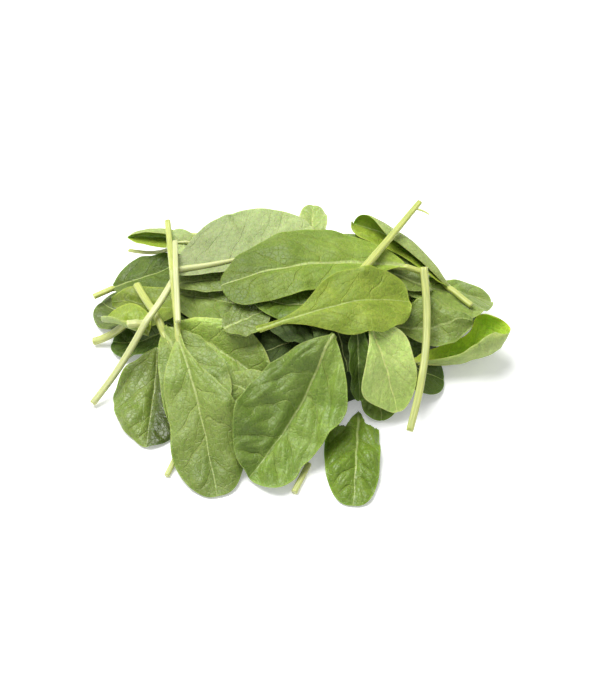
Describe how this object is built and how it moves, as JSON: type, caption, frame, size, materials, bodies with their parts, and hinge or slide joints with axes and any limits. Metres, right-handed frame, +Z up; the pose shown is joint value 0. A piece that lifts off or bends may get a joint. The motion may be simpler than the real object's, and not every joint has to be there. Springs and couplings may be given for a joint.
{
  "type": "heap of baby spinach leaves",
  "caption": "Loose heap of fresh baby spinach leaves with their cut stalks, and a torn leaf lying in front of it.",
  "frame": {"origin": "centre of the underside of the heap's box, on the surface that it lies on", "axes": "+X to the heap's right along its longer side, +Y to its back, +Z up"},
  "size_m": [0.154, 0.1212, 0.038],
  "materials": {
    "spinach_leaves": "fresh green leaf, slightly glossy on top and paler below",
    "torn_leaf": "darker green leaf, glossy"
  },
  "bodies": {
    "root": {"spinach_heap": "spinach_leaves", "loose_leaf": "torn_leaf"}
  },
  "joints": []
}
